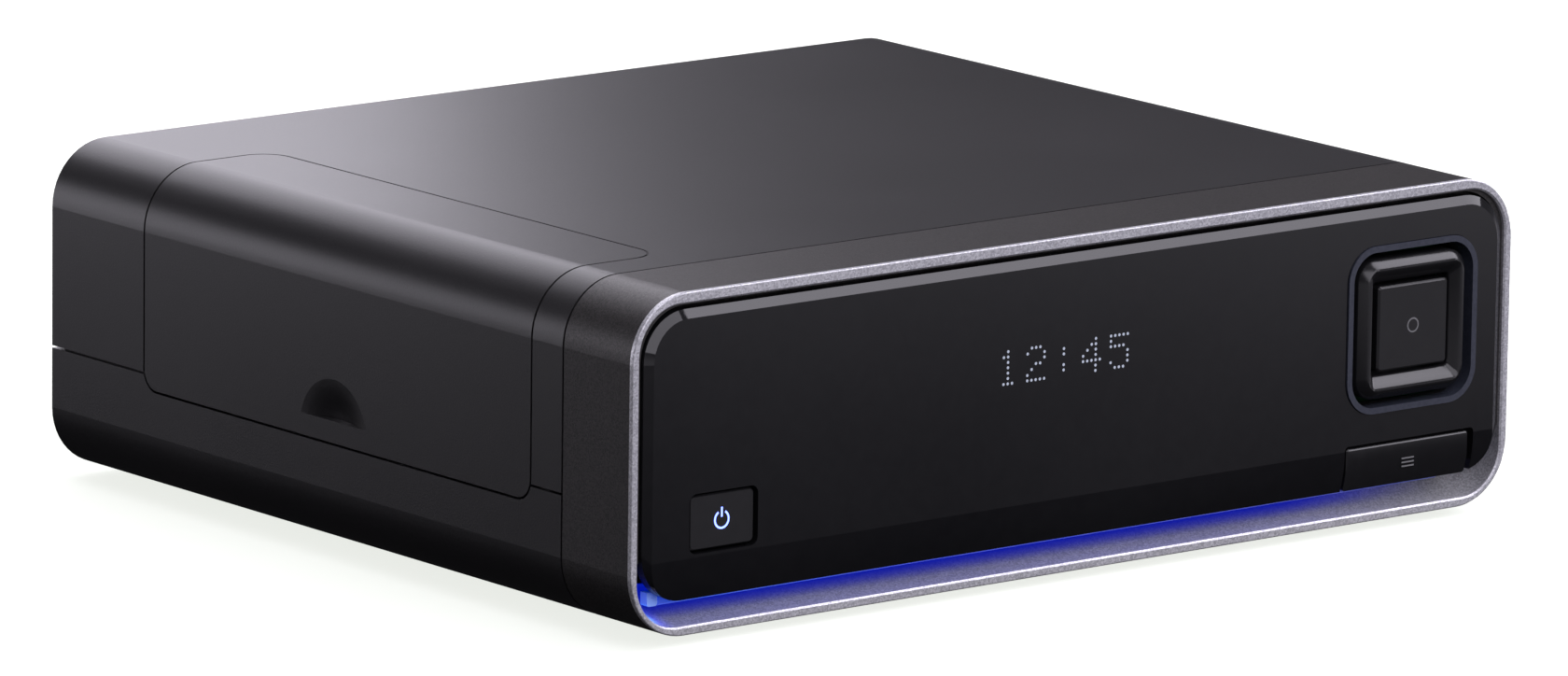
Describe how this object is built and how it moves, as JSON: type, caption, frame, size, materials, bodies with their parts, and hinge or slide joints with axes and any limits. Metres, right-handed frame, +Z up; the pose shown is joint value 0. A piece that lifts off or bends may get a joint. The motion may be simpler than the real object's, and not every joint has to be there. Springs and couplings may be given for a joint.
{
  "type": "media player with hard drive tray",
  "caption": "Black desktop media player with silver bezel, gloss front with keys and dot display, and a hard drive tray behind a flip-up side door.",
  "frame": {"origin": "centre of the bounding box on the surface that the feet stand on", "axes": "+X to the right seen from the front, +Y to the back, +Z up; the front panel faces -Y"},
  "size_m": [0.22, 0.196, 0.068],
  "materials": {
    "case_plastic": "fine textured, matte",
    "collar_plastic": "smooth, satin",
    "silver_paint": "silver metal-flake paint, satin",
    "gloss_black": "polished",
    "key_black": "polished",
    "trim_grey": "satin",
    "inner_plastic": "moulded",
    "clear_guide": "clear, polished",
    "lamp": "clear, polished",
    "board_green": "solder resist",
    "board_blue": "solder resist",
    "chip_black": "moulded epoxy",
    "display_glass": "polished",
    "receiver_lens": "polished",
    "sheet_steel": "zinc plated",
    "pin_steel": "turned",
    "screw_steel": "turned",
    "screw_black": "black oxide",
    "rear_black": "powder coat, matte",
    "cast_alloy": "cast, fine texture",
    "lid_steel": "stamped, satin",
    "sink_alloy": "extruded, anodised",
    "can_alloy": "drawn",
    "contact_black": "moulded",
    "socket_metal": "nickel plated",
    "jack_metal": "plated",
    "jack_insulator": "moulded",
    "fan_plastic": "moulded",
    "foot_rubber": "matte"
  },
  "bodies": {
    "case": {"base_tub": "case_plastic", "top_cover": "case_plastic", "front_collar": "collar_plastic", "silver_bezel": "silver_paint", "front_panel": "gloss_black", "front_chassis": "inner_plastic", "nav_trim": "trim_grey", "light_guide": "clear_guide", "glow_led": "lamp", "front_board": "board_green", "front_screws": "screw_steel", "tact_switches": "chip_black", "display_module": "display_glass", "ir_receiver": "receiver_lens", "hinge_pins": "pin_steel", "door_catches": "inner_plastic", "drive_bay": "sheet_steel", "bay_screws": "screw_steel", "backplane_socket": "contact_black", "backplane_board": "board_green", "riser_connector": "contact_black", "main_board": "board_green", "board_screws": "screw_steel", "processor": "chip_black", "heat_sink": "sink_alloy", "memory_chips": "chip_black", "capacitors": "can_alloy", "rear_panel": "rear_black", "rear_screws": "screw_black", "dc_inlet": "contact_black", "usb_sockets": "socket_metal", "esata_socket": "socket_metal", "ethernet_socket": "contact_black", "hdmi_socket": "socket_metal", "optical_socket": "contact_black", "rca_housing": "contact_black", "rca_sleeves": "jack_metal", "rca_inserts": "jack_insulator", "fan_frame": "fan_plastic", "fan_screws": "screw_black", "rubber_feet": "foot_rubber", "case_screws": "screw_black", "collar_screws": "screw_black"},
    "side_door": {"hdd_door": "case_plastic", "hinge_arms": "inner_plastic"},
    "tray": {"drive_tray": "inner_plastic", "drive_case": "cast_alloy", "drive_lid": "lid_steel", "drive_board": "board_blue", "drive_plug": "contact_black", "drive_screws": "screw_steel"},
    "power_key": {"power_button": "key_black"},
    "centre_key": {"ok_button": "key_black"},
    "option_key": {"option_button": "key_black"},
    "pad_cross": {"nav_gimbal": "inner_plastic"},
    "pad": {"nav_pad": "key_black"},
    "fan": {"fan_rotor": "fan_plastic"}
  },
  "joints": [
    {"name": "door_hinge", "type": "hinge", "parent": "case", "child": "side_door", "pos_m": [-0.071, -0.00213, 0.062], "axis": [0, 1, 0], "range_deg": [0, 90]},
    {"name": "tray_slide", "type": "slide", "parent": "case", "child": "tray", "axis": [-1, 0, 0], "range_m": [0, 0.09]},
    {"name": "power_press", "type": "slide", "parent": "case", "child": "power_key", "axis": [0, 1, 0], "range_m": [0, 0.0008], "stiffness_N_per_m": 700, "springref_m": -0.001},
    {"name": "centre_press", "type": "slide", "parent": "case", "child": "centre_key", "axis": [0, 1, 0], "range_m": [0, 0.0008], "stiffness_N_per_m": 700, "springref_m": -0.001},
    {"name": "option_press", "type": "slide", "parent": "case", "child": "option_key", "axis": [0, 1, 0], "range_m": [0, 0.0008], "stiffness_N_per_m": 700, "springref_m": -0.001},
    {"name": "pad_tilt_up_down", "type": "hinge", "parent": "case", "child": "pad_cross", "pos_m": [0.0835, -0.08753, 0.04065], "axis": [1, 0, 0], "range_deg": [-2.5, 2.5], "stiffness_Nm_per_rad": 0.4},
    {"name": "pad_tilt_left_right", "type": "hinge", "parent": "pad_cross", "child": "pad", "pos_m": [0.0835, -0.08753, 0.04065], "axis": [0, 0, 1], "range_deg": [-2.5, 2.5], "stiffness_Nm_per_rad": 0.4},
    {"name": "fan_spin", "type": "hinge", "parent": "case", "child": "fan", "pos_m": [0.07, 0.0838, 0.0437], "axis": [0, 1, 0], "continuous": true}
  ],
  "couplings": [
    {"joint": "door_hinge", "follows": "tray_slide", "rad_per_m": 17.45}
  ]
}
